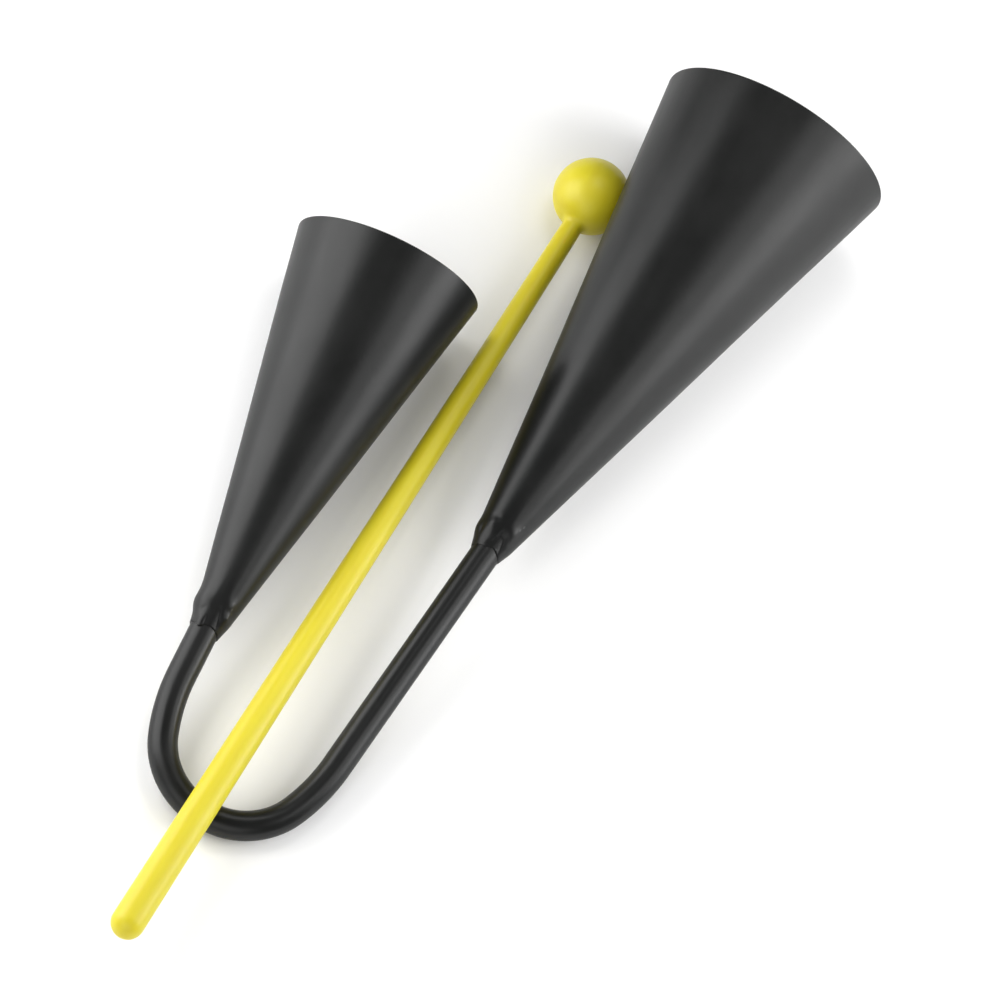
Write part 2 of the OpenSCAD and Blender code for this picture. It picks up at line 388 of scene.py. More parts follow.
def tangent(a):
    """Direction round a bell's axis at the same angle."""
    return Vector((-sin(a), cos(a), 0))


def finish_piece(piece, body, node):
    """Puts a piece on the body that carries it and hides the node that it stands for."""
    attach(piece, body)
    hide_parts(node)


# Materials

# A Mix node repeats its sockets' names for each kind of data, so they are picked by their place
MIX_FACTOR = 0
MIX_NUMBERS = (2, 3)
MIX_COLOURS = (6, 7)
MIX_NUMBER_OUT = 0
MIX_COLOUR_OUT = 2

# The coat's grain against its orange peel: how many times finer, and its share of the depth
GRAIN_FINER = 4.5
GRAIN_DEPTH_SHARE = 0.2


class Nodes:
    """The node tree of a new material or world, with short ways to add, link and set nodes."""

    def __init__(self, owner, shader):
        owner.use_nodes = True
        self.owner = owner
        self.tree = owner.node_tree
        self.shader = self.tree.nodes[shader]

    def add(self, kind, links=(), **settings):
        """Adds a node with its settings. Each link is an input and the output that feeds it."""
        node = self.tree.nodes.new("ShaderNode" + kind)
        for name, value in settings.items():
            setattr(node, name, value)
        for target, source in links:
            self.tree.links.new(source, node.inputs[target])
        return node

    def feed(self, name, source):
        """Links an output to one of the shader's inputs."""
        self.tree.links.new(source, self.shader.inputs[name])

    def set(self, name, value):
        """Sets one of the shader's own inputs."""
        self.shader.inputs[name].default_value = value


def set_inputs(node, values):
    """Sets a node's own inputs by their names."""
    for name, value in values.items():
        node.inputs[name].default_value = value


def material_nodes(name):
    """Nodes of a new material."""
    return Nodes(bpy.data.materials.new(name), "Principled BSDF")


def object_place(nodes):
    """Coordinates of a point on its object."""
    return nodes.add("TexCoord").outputs["Object"]


def stretched(nodes, coordinates, along):
    """Coordinates that draw a pattern out along y."""
    node = nodes.add("Mapping", [("Vector", coordinates)])
    set_inputs(node, {"Scale": (1, along, 1)})
    return node.outputs["Vector"]


def noise(nodes, coordinates, scale, detail, roughness):
    """Grey clouds. A higher scale makes them finer."""
    node = nodes.add("TexNoise", [("Vector", coordinates)])
    set_inputs(node, {"Scale": scale, "Detail": detail, "Roughness": roughness})
    return node.outputs["Fac"]


def spread(nodes, source, between, to=(0, 1), **settings):
    """Stretches one range of a grey value to another, and holds it there at the ends."""
    node = nodes.add("MapRange", [("Value", source)], **settings)
    set_inputs(node, {"From Min": between[0], "From Max": between[1], "To Min": to[0], "To Max": to[1]})
    return node.outputs["Result"]


def relief(nodes, height, strength, depth, under=None):
    """Fine bumps, over those of an earlier relief if there is one."""
    links = [("Height", height)]
    if under is not None:
        links.append(("Normal", under))
    node = nodes.add("Bump", links)
    set_inputs(node, {"Strength": strength, "Distance": depth})
    return node.outputs["Normal"]


def blend_colours(nodes, amount, first, second):
    """Goes from the first colour to the second. Each is a plain colour or another node's output."""
    node = nodes.add("Mix", [(MIX_FACTOR, amount)], data_type="RGBA")
    for place, colour in zip(MIX_COLOURS, (first, second)):
        if isinstance(colour, bpy.types.NodeSocket):
            nodes.tree.links.new(colour, node.inputs[place])
        else:
            node.inputs[place].default_value = (*colour, 1)
    return node.outputs[MIX_COLOUR_OUT]


def powder_coat(name, finish, rough, peel_scale, peel_depth):
    """Satin black powder coat: cloudy tone, fine orange peel, edges rubbed a little lighter.

    It shines less at a glancing look, and its sheen is cut in the hollows of the crimped necks as
    painted shade that darkens them.
    """
    nodes = material_nodes(name)
    where = object_place(nodes)
    clouds = spread(nodes, noise(nodes, where, scale=38, detail=4, roughness=0.6), between=(0.35, 0.65))
    tone = blend_colours(nodes, clouds, finish.coat_dark, finish.coat_light)
    pointed = nodes.add("NewGeometry").outputs["Pointiness"]
    rubbed = spread(nodes, pointed, between=(0.53, 0.62))
    nodes.feed("Base Color", blend_colours(nodes, rubbed, tone, finish.coat_worn))

    handled = noise(nodes, stretched(nodes, where, along=0.16), scale=95, detail=3, roughness=0.55)
    nodes.feed("Roughness", spread(nodes, handled, between=(0.3, 0.7), to=rough))

    peel = noise(nodes, where, scale=peel_scale, detail=2, roughness=0.45)
    grain = noise(nodes, where, scale=peel_scale * GRAIN_FINER, detail=2, roughness=0.5)
    peeled = relief(nodes, peel, strength=0.6, depth=peel_depth)
    grained = relief(nodes, grain, strength=0.5, depth=peel_depth * GRAIN_DEPTH_SHARE, under=peeled)
    nodes.feed("Normal", grained)

    nodes.set("IOR", 1.42)
    glance = nodes.add("LayerWeight").outputs["Facing"]
    facing = spread(nodes, glance, between=(0.3, 0.75), to=(0.5, 0.2))
    # Painted shade: the sheen falls almost to nothing in the hollows of the crimped necks, so they read
    # darker
    painted_hollow_shade = spread(nodes, pointed, between=(0.43, 0.492), to=(0.05, 1))
    shine = nodes.add("Math", [(0, facing), (1, painted_hollow_shade)], operation="MULTIPLY").outputs["Value"]
    nodes.feed("Specular IOR Level", shine)
    return nodes.owner


def moulded_plastic(name, finish):
    """Yellow moulded plastic: faint flow marks, soft sheen, a fine grain, and light passing inside."""
    nodes = material_nodes(name)
    where = object_place(nodes)
    flow = noise(nodes, stretched(nodes, where, along=0.12), scale=120, detail=4, roughness=0.6)
    swirl = spread(nodes, flow, between=(0.35, 0.7))
    nodes.feed("Base Color", blend_colours(nodes, swirl, finish.plastic_main, finish.plastic_deep))

    scuffs = noise(nodes, where, scale=260, detail=4, roughness=0.65)
    nodes.feed("Roughness", spread(nodes, scuffs, between=(0.3, 0.7), to=(0.36, 0.5)))

    grain = noise(nodes, where, scale=900, detail=3, roughness=0.5)
    nodes.feed("Normal", relief(nodes, grain, strength=0.35, depth=0.00002))

    nodes.set("IOR", 1.49)
    nodes.set("Subsurface Weight", 0.5)
    nodes.set("Subsurface Radius", (0.006, 0.0052, 0.0012))
    nodes.set("Subsurface Scale", 1.0)
    return nodes.owner


def studio_paper(name, colour):
    """Matt paper with a faint grain."""
    nodes = material_nodes(name)
    grain = noise(nodes, object_place(nodes), scale=350, detail=3, roughness=0.5)
    nodes.feed("Normal", relief(nodes, grain, strength=0.1, depth=0.0001))
    nodes.set("Base Color", (*colour, 1))
    nodes.set("Roughness", 0.9)
    return nodes.owner


# Bells

# Angles round a bell's axis, seen from the neck
RIGHT = 0
UNDER = pi / 2
LEFT = pi
UPPER = -pi / 2

# How a neck was crimped. Places and reaches run along the cone from the neck's end, widths are angles
# round it. A mark is a soft bulge or dent, an end shift moves the edge of the sheet, and a groove is
# pressed in by a punch. The whole cone may sit a little aside of the tube's axis.
Mark = namedtuple("Mark", "angle place reach width height")
EndShift = namedtuple("EndShift", "angle width shift")
Groove = namedtuple("Groove", "angle width reach depth")
Crimp = namedtuple("Crimp", "marks end_shifts grooves aside")

LARGE_CRIMP = Crimp(
    marks=(
        Mark(UPPER - 0.46, 0.0050, 0.0045, 0.38, -0.0005),
        Mark(UPPER - 0.50, 0.0086, 0.0028, 0.32, 0.0007),
        Mark(UPPER - 1.40, 0.0072, 0.0036, 0.42, 0.0007),
        Mark(UPPER - 0.42, 0.0124, 0.0013, 0.22, -0.00025),
        Mark(UPPER + 0.54, 0.0100, 0.0026, 0.24, 0.0007),
        Mark(UPPER - 0.98, 0.0060, 0.0020, 0.15, -0.0004)),
    end_shifts=(
        EndShift(UPPER + 0.25, 0.40, 0.0013),
        EndShift(UNDER, 0.40, 0.0012),
        EndShift(LEFT, 0.50, -0.0005),
        EndShift(RIGHT, 0.50, -0.0004)),
    grooves=(
        Groove(UPPER + 0.28, 0.32, 0.010, 0.0020),
        Groove(UPPER, 0.30, 0.022, 0.0003),
        Groove(UNDER, 0.36, 0.012, 0.0016)),
    aside=0)

SMALL_CRIMP = Crimp(
    marks=(
        Mark(LEFT, 0.0088, 0.0052, 0.95, 0.0015),
        Mark(UPPER - 0.48, 0.0006, 0.0032, 0.32, 0.0006),
        Mark(UPPER - 0.75, 0.0088, 0.0032, 0.34, 0.0004),
        Mark(UPPER - 0.46, 0.0052, 0.0011, 0.20, -0.0005),
        Mark(UPPER + 0.54, 0.0109, 0.0022, 0.22, 0.0005),
        Mark(UPPER + 0.71, 0.0059, 0.0022, 0.22, 0.0006)),
    end_shifts=(
        EndShift(UPPER + 0.15, 0.30, 0.0004),
        EndShift(UNDER, 0.40, 0.0010),
        EndShift(UPPER - 0.50, 0.28, -0.0015),
        EndShift(LEFT, 0.50, 0.0006),
        EndShift(RIGHT, 0.70, -0.0016)),
    grooves=(
        Groove(UPPER + 0.16, 0.34, 0.009, 0.0014),
        Groove(UPPER, 0.30, 0.022, 0.0003),
        Groove(UNDER, 0.36, 0.012, 0.0014)),
    aside=0.0009)

# Shares of the taper's length between which the narrowed end runs into the cone
TAPER_BLEND = (0.55, 1.45)

# A groove keeps its full depth over a first share of its reach, narrows to a share of its width over
# the whole of it, has steep walls, and its floor tilts round the neck
GROOVE_FULL_SHARE = 0.15
GROOVE_NARROW_SHARE = 0.55
GROOVE_WALL_POWER = 3.2
GROOVE_FLOOR_TILT = 0.3

# Least sheet over the bore, as a share of the lip, and how fast it thickens along the cone
LEAST_SHEET_SHARE = 0.7
LEAST_SHEET_RISE = 0.16

# The crimped stretch, and how far up it the uneven end reaches
NECK_LEN = 0.030
END_SHIFT_REACH = 0.008

# Places of the cone's mesh: where they start, how far short of the rim they stop, their distances on
# the crimped stretch and beyond it, and their number round the cone
FIRST_STATION = 0.0006
RIM_STOP = 0.0007
OUTSIDE_STEPS = (0.0005, 0.0045)
INSIDE_STEPS = (0.0015, 0.009)
CONE_SIDES = 216

# How far the corners of the sheet are rounded
LIP_OUTER_ROUND = 0.00018
LIP_INNER_ROUND = 0.00009
RIM_ROUND = 0.0003

# Waves of the rolled sheet: each one's share of the height, lobes round the cone and turn per metre
ROLL_HEIGHT = 0.00007
ROLL_WAVES = ((1, 3, 31), (0.6, 5, -57))
ROLL_RIM_FADE = 0.02


def turn_between(a, b):
    """Angle from b to a, the short way round."""
    return atan2(sin(a - b), cos(a - b))


class BellForm:
    """Outside and inside of one cone in its own axes: s along it from the neck's end, a round it."""

    def __init__(self, sizes, tube, mouth_d, foot_t, length, normal, crimp):
        self.length = length
        self.normal = normal
        self.crimp = crimp
        self.sheet_t = sizes.sheet_t
        self.lip_t = sizes.lip_t
        self.taper_len = sizes.taper_len
        self.bore = tube.tube_d / 2 + sizes.neck_fit
        self.mouth_r = mouth_d / 2
        self.foot_r = self.bore + foot_t
        self.flare = (self.mouth_r - self.foot_r) / length

    def cone(self, s):
        """Radius of the plain cone."""
        return self.foot_r + self.flare * s

    def end_place(self, a):
        """Place of the sheet's end: drawn back where the punch pinches it, a little uneven between."""
        return sum(end.shift * hill(turn_between(a, end.angle), end.width)
                   for end in self.crimp.end_shifts)

    def outer(self, s, a):
        """Radius of the outside: the cone, its narrowed end, the soft marks and the pressed grooves."""
        first = self.end_place(a)
        aside = self.crimp.aside * cos(a)
        lip_r = self.bore + self.lip_t
        share = (s - first) / (self.taper_len - first)
        narrowed = lip_r + (self.cone(self.taper_len) + aside - lip_r) * share
        plain = self.cone(s) + aside * (1 - s / self.length)
        near_end = fade(share, *TAPER_BLEND)
        radius = narrowed * near_end + plain * (1 - near_end)
        for mark in self.crimp.marks:
            along = hill(s - mark.place, mark.reach)
            radius += mark.height * along * hill(turn_between(a, mark.angle), mark.width)

        floor = self.bore + self.lip_t * LEAST_SHEET_SHARE + LEAST_SHEET_RISE * max(0, s - first)
        for groove in self.crimp.grooves:
            turn = turn_between(a, groove.angle)
            narrow = GROOVE_NARROW_SHARE + (1 - GROOVE_NARROW_SHARE) * fade(s, 0, groove.reach)
            across = exp(-(abs(turn) / (groove.width * narrow)) ** GROOVE_WALL_POWER)
            full = GROOVE_FULL_SHARE * groove.reach
            radius -= groove.depth * across * fade(s, full, full + groove.reach)
            tilt = GROOVE_FLOOR_TILT * min(2 * groove.width, max(0, turn + groove.width))
            floor += groove.depth * tilt * across
        return max(radius, floor)

    def rolled(self, s, a):
        """Slight waves that rolling the sheet leaves, fading out at both ends."""
        from_neck = max(0, min(1, (s - NECK_LEN) / NECK_LEN))
        from_rim = max(0, min(1, (self.length - s) / ROLL_RIM_FADE))
        waves = sum(share * sin(lobes * a + turn * s) for share, lobes, turn in ROLL_WAVES)
        return ROLL_HEIGHT * from_neck * from_rim * waves

    def surface(self, s, a):
        """Radius of the outside with the waves of the rolled sheet."""
        return self.outer(s, a) + self.rolled(s, a)

    def mouth_end(self, radius, a):
        """Place along the axis where the tilted mouth cuts a wall of this radius at the mouth."""
        tip = self.normal.x * cos(a) + self.normal.y * sin(a)
        return self.length - radius * tip / (self.normal.z + self.flare * tip)

    def moved(self, station, rim, first):
        """A station moved to follow the slanted rim and the uneven end of the neck."""
        to_rim = max(0, station - NECK_LEN) / (self.length - NECK_LEN)
        to_neck = max(0, 1 - station / END_SHIFT_REACH)
        return station + to_rim * (rim - self.length - RIM_STOP) + first * to_neck

    def column(self, a):
        """Closed outline of the sheet at angle a, out from the neck and back inside, as (radius, s)."""
        first = self.end_place(a)
        rim_out = self.mouth_end(self.mouth_r, a)
        rim_in = self.mouth_end(self.mouth_r - self.sheet_t, a)
        lip_out = Vector((self.outer(first, a), first))
        lip_in = Vector((self.bore, first))
        top_out = Vector((self.cone(rim_out), rim_out))
        top_in = Vector((self.cone(rim_in) - self.sheet_t, rim_in))
        slope = Vector((self.flare, 1))

        outline = rounded(lip_in, lip_out, lip_out + slope, LIP_OUTER_ROUND)
        for station in stations(FIRST_STATION, self.length, NECK_LEN, *OUTSIDE_STEPS):
            s = self.moved(station, rim_out, first)
            outline.append(Vector((self.surface(s, a), s)))
        outline += rounded(top_out - slope, top_out, top_in, RIM_ROUND)
        outline += rounded(top_out, top_in, top_in - slope, RIM_ROUND)
        for station in reversed(stations(FIRST_STATION, self.length, NECK_LEN, *INSIDE_STEPS)):
            s = self.moved(station, rim_in, first)
            outline.append(Vector((max(self.surface(s, a) - self.sheet_t, self.bore), s)))
        outline += rounded(lip_in + Vector((0, 1)), lip_in, lip_out, LIP_INNER_ROUND)
        return outline


class Bell:
    """One cone's form on its end of the handle. Its outer side is 1 to the right and -1 to the left."""

    def __init__(self, size, form, plane, axis, neck, outer_side):
        self.size = size
        self.form = form
        self.plane = plane
        self.axes = bell_axes(axis)
        self.neck = neck
        self.outer_side = outer_side

    def place(self, radius, s, a, aside=0):
        """Point of the frame at a radius, a place along the cone, an angle and a distance round it."""
        point = spoke(a) * radius + tangent(a) * aside + UP * s
        return self.plane.place(self.neck + self.axes @ point)

    def turned(self, direction):
        """A direction in the bell's own axes as one of the frame."""
        return self.plane.turn @ self.axes @ direction

    def shell(self, material):
        """The mesh of the cone's sheet."""
        rings = []
        for i in range(CONE_SIDES):
            a = 2 * pi * i / CONE_SIDES
            rings.append([self.place(radius, s, a) for radius, s in self.form.column(a)])
        return loft(self.size + "_bell_shell", rings, material, joined=True)


def both_bells(scene):
    """The large bell on the long leg and the small one on the short leg."""
    sizes, tube = scene.agogo_bells, scene.agogo_handle
    plane = HandlePlane(sizes, tube)
    large_normal = mouth_normal(-sizes.large_mouth_in, sizes.large_mouth_down)
    small_normal = mouth_normal(sizes.small_mouth_in, sizes.small_mouth_down)
    large_form = BellForm(
        sizes, tube, sizes.large_mouth_d, sizes.sheet_t, sizes.large_len, large_normal, LARGE_CRIMP)
    small_form = BellForm(
        sizes, tube, sizes.small_mouth_d, sizes.lip_t, sizes.small_len, small_normal, SMALL_CRIMP)
    large_neck = plane.leg_foot + plane.leg_dir * tube.long_leg
    small_neck = other_side(plane.leg_foot + plane.leg_dir * tube.short_leg)
    return (Bell("large", large_form, plane, plane.leg_dir, large_neck, outer_side=1),
            Bell("small", small_form, plane, other_side(plane.leg_dir), small_neck, outer_side=-1))


class AGOGO_OT_bells(bpy.types.Operator):
    """Build both sheet-steel cones with their crimped necks"""
    bl_idname = "agogo.bells"
    bl_label = "Bells"

    def execute(self, context):
        coat = powder_coat(
            "satin_coat_on_cones", context.scene.agogo_finishes,
            rough=(0.34, 0.42), peel_scale=620, peel_depth=0.00003)
        for bell in both_bells(context.scene):
            finish_piece(bell.shell(coat), "instrument", bell.size + "_bell")
        return {"FINISHED"}


# Welds

# One place of a weld bead: its centre on the metal, its directions across and out of the metal, and
# its size each way. Its root under the metal is a share of its height.
BeadPoint = namedtuple("BeadPoint", "centre across out half_width height")
BEAD_ROOT_SHARE = 0.5

# A seam bead is sunk a little into the sheet and sways in waves of (reach, turn per metre). Its ends
# are rounded over a length, and the first place is a share of a step inside.
SEAM_SIDES = 12
SEAM_STEP = 0.00055
SEAM_END_LEN = 0.0012
SEAM_END_STEP_SHARE = 0.6
SEAM_SUNK = 0.00006
SEAM_SWAYS = ((0.00012, 310), (0.00008, 730))

# Its ripples, with the shares of width and height that are steady and that follow them
SEAM_RIPPLE_LEN = 0.0021
SEAM_WIDTH_SHARES = (0.95, 0.05)
SEAM_HEIGHT_SHARES = (0.78, 0.20)

# A tack bead sits in the corner between the tube and the edge of the sheet and leans out of it. Its
# ends run out past the weld's arc to a least size, and its lumps are waves of (share, turn, phase).
TACK_SIDES = 16
TACK_STEPS = 36
TACK_RUN_OUT = 0.12
TACK_LEAST = 0.02
TACK_LUMPS = ((0.10, 17, 1), (0.07, 31, 2))
TACK_SIZE_SHARE = 0.95
TACK_SUNK = 0.0001
TACK_LEAN = radians(41.35)


def bead(name, path, material, sides):
    """Weld bead along a path of bead points."""
    rings = []
    for point in path:
        ring = []
        for j in range(sides):
            t = 2 * pi * j / sides
            lift = sin(t) * point.height * (1 if sin(t) > 0 else BEAD_ROOT_SHARE)
            ring.append(point.centre + point.across * cos(t) * point.half_width + point.out * lift)
        rings.append(ring)
    return loft(name, rings, material)


def seam_path(bell, welds):
    """Bead points down one cone, from above its crimped neck to short of its rim."""
    form = bell.form
    a = UNDER - bell.outer_side * welds.seam_turn
    last = form.mouth_end(form.mouth_r, a) - welds.seam_stop
    count = ceil((last - welds.seam_first) / SEAM_STEP)
    path = []
    for i in range(count + 1):
        s = welds.seam_first + (last - welds.seam_first) * i / count
        from_end = (min(i, count - i) + SEAM_END_STEP_SHARE) * SEAM_STEP
        taper = sqrt(min(1, from_end / SEAM_END_LEN))
        ripple = 0.5 + 0.5 * cos(2 * pi * s / SEAM_RIPPLE_LEN)
        wide, high = [steady + rippled * ripple
                      for steady, rippled in (SEAM_WIDTH_SHARES, SEAM_HEIGHT_SHARES)]
        sway = sum(reach * sin(s * turn) for reach, turn in SEAM_SWAYS)
        path.append(BeadPoint(
            centre=bell.place(form.surface(s, a) - SEAM_SUNK, s, a, aside=sway),
            across=bell.turned(tangent(a)),
            out=bell.turned(spoke(a)),
            half_width=welds.seam_width / 2 * taper * wide,
            height=welds.seam_proud * taper * high))
    return path


def tack_path(bell, side, welds, tube):
    """Bead points round one side of a neck, where the edge of the sheet meets the tube."""
    path = []
    for i in range(TACK_STEPS + 1):
        t = i / TACK_STEPS
        a = side + (t - 0.5) * (welds.tack_arc + TACK_RUN_OUT)
        taper = sqrt(max(TACK_LEAST, 1 - (2 * t - 1) ** 4))
        lump = 1 + sum(share * sin(t * turn + side * phase) for share, turn, phase in TACK_LUMPS)
        half = welds.tack_r * TACK_SIZE_SHARE * taper * lump
        path.append(BeadPoint(
            centre=bell.place(tube.tube_d / 2 - TACK_SUNK, bell.form.end_place(a) + TACK_SUNK, a),
            across=bell.turned(spoke(a) * sin(TACK_LEAN) + UP * cos(TACK_LEAN)),
            out=bell.turned(spoke(a) * cos(TACK_LEAN) - UP * sin(TACK_LEAN)),
            half_width=half,
            height=half))
    return path


class AGOGO_OT_seams(bpy.types.Operator):
    """Build the welded seam down the underside of each cone"""
    bl_idname = "agogo.seams"
    bl_label = "Seam welds"

    def execute(self, context):
        scene = context.scene
        coat = powder_coat(
            "satin_coat_on_welds", scene.agogo_finishes,
            rough=(0.38, 0.5), peel_scale=900, peel_depth=0.00004)
        for bell in both_bells(scene):
            piece = bead(bell.size + "_seam_bead", seam_path(bell, scene.agogo_welds), coat, SEAM_SIDES)
            finish_piece(piece, "instrument", bell.size + "_bell_seam")
        return {"FINISHED"}


class AGOGO_OT_tacks(bpy.types.Operator):
    """Build the tack welds between each neck and the tube"""
    bl_idname = "agogo.tacks"
    bl_label = "Neck tack welds"

    def execute(self, context):
        scene = context.scene
        coat = powder_coat(
            "satin_coat_on_tacks", scene.agogo_finishes,
            rough=(0.36, 0.48), peel_scale=900, peel_depth=0.00004)
        for bell in both_bells(scene):
            for side, label in ((RIGHT, "right"), (LEFT, "left")):
                path = tack_path(bell, side, scene.agogo_welds, scene.agogo_handle)
                piece = bead(f"{bell.size}_neck_tack_{label}", path, coat, TACK_SIDES)
                finish_piece(piece, "instrument", bell.size + "_neck_welds")
        return {"FINISHED"}


# Handle

TUBE_SIDES = 72
TUBE_END_ROUND = 0.0003
SHORT_LEG_STEPS = 14
SHOULDER_STEPS = 16
BOTTOM_STEPS = 56
LONG_LEG_STEPS = 40

# A place on the tube's centreline, the way the tube runs there and its outer radius
Section = namedtuple("Section", "point direction radius")


def straight(start, direction, length, steps, radius):
    """Sections of a straight stretch of tube."""
    return [Section(start + direction * length * i / steps, direction, radius)
            for i in range(steps + 1)]


def arc(centre, bend_r, first, last, steps, radius):
    """Sections of a bent stretch of tube, after the one that it starts from."""
    return [Section(on_arc(centre, bend_r, a), Vector((cos(a), sin(a), 0)), radius)
            for a in steps_between(first, last, steps)]


def handle_line(plane, tube):
    """Sections of the whole tube, from its end in the small neck to its end in the large one."""
    tube_r = tube.tube_d / 2
    shoulder_tube_r = tube_r - tube.bend_draw
    bottom_tube_r = tube_r - 2 * tube.bend_draw
    bottom, whole = plane.bottom_turn, plane.whole_turn
    short = tube.short_leg + tube.tube_insert
    short_end = other_side(plane.leg_foot + plane.leg_dir * short)
    left_centre = other_side(plane.shoulder_centre)
    long_leg = straight(
        plane.leg_foot, plane.leg_dir, tube.long_leg + tube.tube_insert, LONG_LEG_STEPS, tube_r)
    return (straight(short_end, -other_side(plane.leg_dir), short, SHORT_LEG_STEPS, tube_r)
            + arc(left_centre, tube.shoulder_r, -whole, -bottom, SHOULDER_STEPS, shoulder_tube_r)
            + arc(plane.bottom_centre, tube.bend_r, -bottom, bottom, BOTTOM_STEPS, bottom_tube_r)
            + arc(plane.shoulder_centre, tube.shoulder_r, bottom, whole, SHOULDER_STEPS, shoulder_tube_r)
            + long_leg[1:])


def along_tube(line, a, inset):
    """Points along the tube at an angle round it, inset from its outside."""
    points = []
    for centre, direction, radius in line:
        across = Vector((direction.y, -direction.x, 0))
        points.append(centre + (across * cos(a) + UP * sin(a)) * (radius - inset))
    return points


def tube_outline(line, wall, a):
    """Closed outline of the tube's wall at an angle round it, along the outside and back inside."""
    outside = along_tube(line, a, 0)
    inside = along_tube(reversed(line), a, wall)
    return (rounded(inside[-1], outside[0], outside[1], TUBE_END_ROUND) + outside[1:-1]
            + rounded(outside[-2], outside[-1], inside[0], TUBE_END_ROUND)
            + rounded(outside[-1], inside[0], inside[1], TUBE_END_ROUND) + inside[1:-1]
            + rounded(inside[-2], inside[-1], outside[0], TUBE_END_ROUND))


class AGOGO_OT_handle(bpy.types.Operator):
    """Build the bent tube that carries both cones"""
    bl_idname = "agogo.handle"
    bl_label = "Handle"

    def execute(self, context):
        tube = context.scene.agogo_handle
        plane = HandlePlane(context.scene.agogo_bells, tube)
        line = handle_line(plane, tube)
        coat = powder_coat(
            "satin_coat_on_tube", context.scene.agogo_finishes,
            rough=(0.31, 0.40), peel_scale=700, peel_depth=0.000022)
        rings = []
        for j in range(TUBE_SIDES):
            outline = tube_outline(line, tube.tube_wall, 2 * pi * j / TUBE_SIDES)
            rings.append([plane.place(point) for point in outline])
        piece = loft("handle_tube", rings, coat, joined=True)
        finish_piece(piece, "instrument", "handle")
        return {"FINISHED"}


# Beater

BEATER_SIDES = 96
BALL_STEPS = 40
FILLET_STEPS = 10
SHAFT_STEPS = 60
BUTT_STEPS = 17

# Part of the packed butt that gives its middle, as a share of its diameter
BUTT_CAP_SHARE = 0.2

# The parting line: its height, its width as the sine of an angle, and the radius below which it fades.
# The rest of the moulding is drawn in, so that the line stays inside the packed beater's box.
PARTING_HEIGHT = 0.00006
PARTING_WIDTH = 0.04
PARTING_FADE_R = 0.004
DRAWN_IN = 0.00004


def beater_ends(beater):
    """Centres of the ball, which rests on the table, and of the rounded butt of the packed beater."""
    low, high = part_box("beater")
    ball_r, butt_r = beater.ball_d / 2, beater.shaft_butt_d / 2
    ball = Vector(((low.x + high.x) / 2, high.y - ball_r, ball_r))
    cap_end = low.y + beater.shaft_butt_d * BUTT_CAP_SHARE
    cap = [v.co for v in frame["nodes"]["beater"].data.vertices if v.co.y < cap_end]
    x, z = [(min(point[i] for point in cap) + max(point[i] for point in cap)) / 2 for i in (0, 2)]
    return ball, Vector((x, low.y + butt_r, z))


def beater_outline(beater, length):
    """The beater's profile as (radius, place) pairs: ball, fillet, tapered shaft and round butt.

    Places run from the ball's centre, and the butt's centre is at the length. Both poles are left out.
    """
    ball_r, head_r, butt_r = beater.ball_d / 2, beater.shaft_head_d / 2, beater.shaft_butt_d / 2
    fillet = beater.ball_fillet
    fillet_out = head_r + fillet
    fillet_place = sqrt((ball_r + fillet) ** 2 - fillet_out ** 2)
    touch = atan2(fillet_out, fillet_place)
    outline = [(ball_r * sin(t), ball_r * cos(t)) for t in steps_between(pi, touch, BALL_STEPS)]
    outline += [(fillet_out - fillet * sin(t), fillet_place - fillet * cos(t))
                for t in steps_between(touch, pi / 2, FILLET_STEPS)]
    outline += [(head_r + (butt_r - head_r) * place / length, place)
                for place in steps_between(fillet_place, length, SHAFT_STEPS)]
    outline += [(butt_r * cos(t), length + butt_r * sin(t))
                for t in steps_between(0, pi / 2, BUTT_STEPS)[:-1]]
    return outline


class AGOGO_OT_beater(bpy.types.Operator):
    """Build the moulded beater"""
    bl_idname = "agogo.beater"
    bl_label = "Beater"

    def execute(self, context):
        beater = context.scene.agogo_beater
        ball, butt = beater_ends(beater)
        axis = (butt - ball).normalized()
        side = UP.cross(axis).normalized()
        top = axis.cross(side)
        rings = []
        for radius, place in beater_outline(beater, (butt - ball).length):
            ring = []
            for j in range(BEATER_SIDES):
                a = 2 * pi * j / BEATER_SIDES
                ridge = PARTING_HEIGHT * hill(sin(a), PARTING_WIDTH) * min(1, radius / PARTING_FADE_R)
                out = side * cos(a) + top * sin(a)
                ring.append(ball + axis * place + out * (radius - DRAWN_IN + ridge))
            rings.append(ring)
        plastic = moulded_plastic("yellow_moulded_plastic", context.scene.agogo_finishes)
        piece = loft("beater_moulding", rings, plastic)
        finish_piece(piece, "beater", "beater")
        return {"FINISHED"}


# Stage

# Each softbox has its power in the stage's settings, under its own name
Softbox = namedtuple("Softbox", "name place target width height")
SOFTBOXES = (
    Softbox("right", (0.52, 0.20, 0.25), (0.05, 0.12, 0.04), 0.50, 0.32),
    Softbox("right_high", (0.50, 0.20, 0.72), (0.00, 0.12, 0.03), 0.90, 0.24),
    Softbox("left", (-0.385, -0.06, 0.21), (-0.05, 0.00, 0.03), 0.50, 0.42),
    Softbox("far_high", (-0.045, 0.40, 0.835), (0.00, 0.00, 0.03), 0.30, 0.30),
    Softbox("far_right", (0.794, 0.40, 0.165), (0.00, 0.00, 0.03), 0.30, 0.30),
    Softbox("near", (0.00, -1.30, 0.75), (0.00, 0.00, 0.00), 2.00, 1.00))

# Height of a ray's direction above which the room has its overhead brightness
ROOM_FADE_TOP = 0.6

# The photograph's view: the middle of its frame and the scale there, and the camera's turn round the
# upright, its rise over the floor and its roll
LOOK_AT = Vector((0.02675, 0.02969, 0.01995))
FRAME_PX = 1000
PX_PER_M = 2568
CAMERA_TURN = radians(-82.110)
CAMERA_RISE = radians(63.237)
CAMERA_ROLL = radians(22.511)

# The camera's own sensor in millimetres, and the nearest and farthest that it sees
SENSOR = 36
CLIP = (1, 60)


